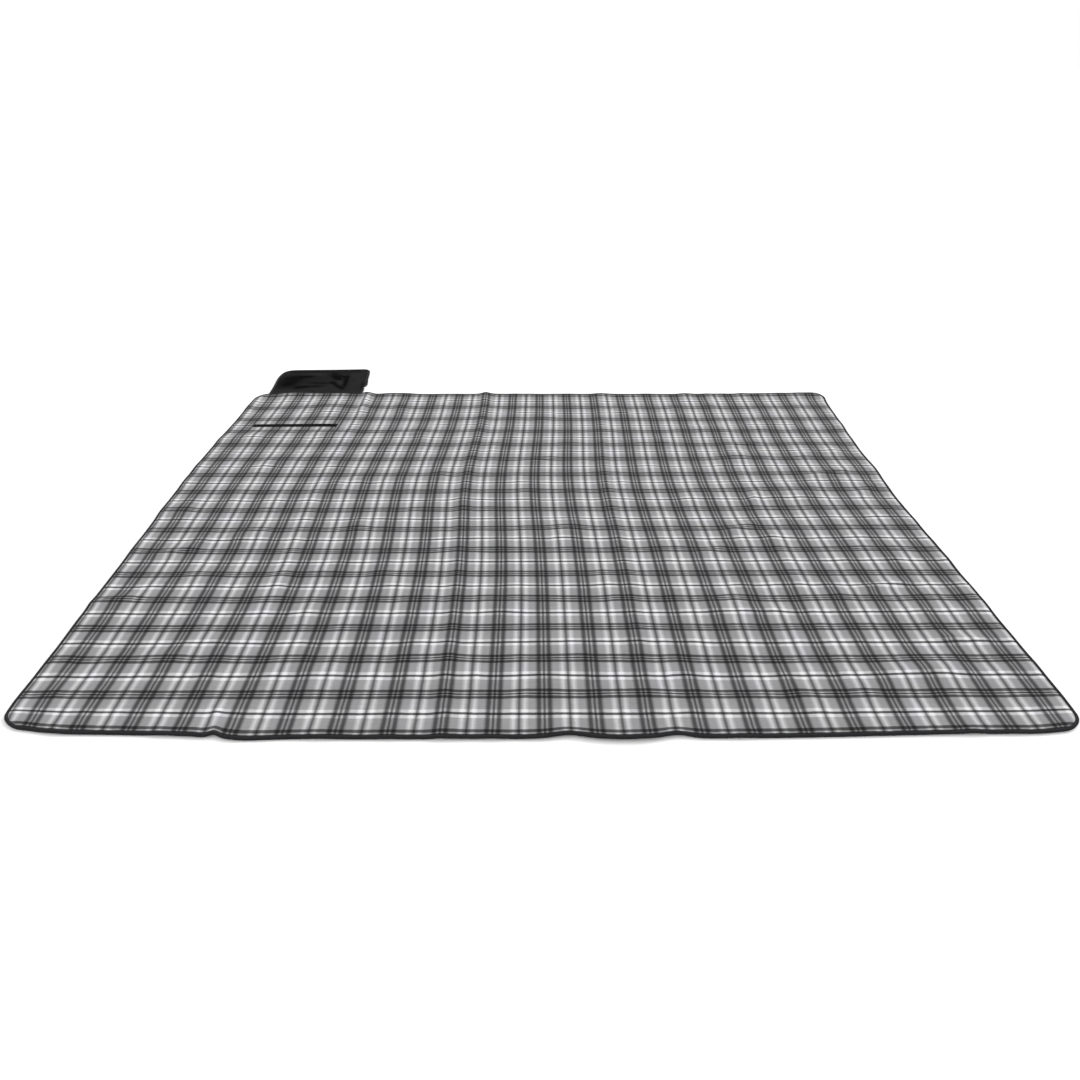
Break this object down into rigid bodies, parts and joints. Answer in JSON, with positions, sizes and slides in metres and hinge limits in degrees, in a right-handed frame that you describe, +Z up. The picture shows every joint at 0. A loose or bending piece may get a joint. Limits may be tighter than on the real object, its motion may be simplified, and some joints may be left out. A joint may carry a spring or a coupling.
{
  "type": "camp blanket",
  "caption": "Padded picnic mat with a plaid top, waterproof backing and bound edge, which folds in panels and closes with a flap that has a carry handle.",
  "frame": {"origin": "centre of the mat's underside, on the ground, with the blanket laid out flat", "axes": "+X along the long side, +Y to the edge that carries the flap, +Z up through the thickness"},
  "size_m": [2, 1.758, 0.0062],
  "materials": {
    "plaid": "woven wool-like plaid in greys, black and white, matt",
    "padding": "soft filling, not seen",
    "backing": "coated cloth, satin, waterproof",
    "binding": "woven tape, matt",
    "flap": "coated cloth, satin, slightly creased",
    "closure": "hook-and-loop tape, matt",
    "webbing": "woven webbing, matt"
  },
  "bodies": {
    "panel_1": {"top_fabric_1": "plaid", "padding_1": "padding", "backing_1": "backing", "edge_binding_1": "binding", "loop_strip": "closure"},
    "panel_2": {"top_fabric_2": "plaid", "padding_2": "padding", "backing_2": "backing", "edge_binding_2": "binding"},
    "panel_3": {"top_fabric_3": "plaid", "padding_3": "padding", "backing_3": "backing", "edge_binding_3": "binding"},
    "panel_4": {"top_fabric_4": "plaid", "padding_4": "padding", "backing_4": "backing", "edge_binding_4": "binding"},
    "panel_5": {"top_fabric_5": "plaid", "padding_5": "padding", "backing_5": "backing", "edge_binding_5": "binding"},
    "flap": {"flap_shell": "flap", "flap_lining": "flap", "flap_binding": "binding", "flap_hook_strip": "closure", "handle_sewn_ends": "webbing", "handle_patches": "flap"},
    "handle": {"handle_strap": "webbing"}
  },
  "joints": [
    {"name": "fold_4", "type": "hinge", "parent": "panel_5", "child": "panel_4", "pos_m": [0.6, 0, 0.0145], "axis": [0, 1, 0], "range_deg": [0, 180]},
    {"name": "fold_3", "type": "hinge", "parent": "panel_4", "child": "panel_3", "pos_m": [0.2, 0, -0.0095], "axis": [0, -1, 0], "range_deg": [0, 180]},
    {"name": "fold_2", "type": "hinge", "parent": "panel_3", "child": "panel_2", "pos_m": [-0.2, 0, 0.0145], "axis": [0, 1, 0], "range_deg": [0, 180]},
    {"name": "fold_1", "type": "hinge", "parent": "panel_2", "child": "panel_1", "pos_m": [-0.6, 0, -0.0095], "axis": [0, -1, 0], "range_deg": [0, 180]},
    {"name": "flap_fold", "type": "hinge", "parent": "panel_1", "child": "flap", "pos_m": [-0.79, 0.75, 0.0056], "axis": [1, 0, 0], "range_deg": [0, 180]},
    {"name": "handle_swing", "type": "hinge", "parent": "flap", "child": "handle", "pos_m": [-0.79, 0.836, 0.0008], "axis": [-1, 0, 0], "range_deg": [0, 90]}
  ],
  "couplings": [
    {"joint": "fold_3", "follows": "fold_4", "ratio": 1},
    {"joint": "fold_2", "follows": "fold_4", "ratio": 1},
    {"joint": "fold_1", "follows": "fold_4", "ratio": 1}
  ]
}
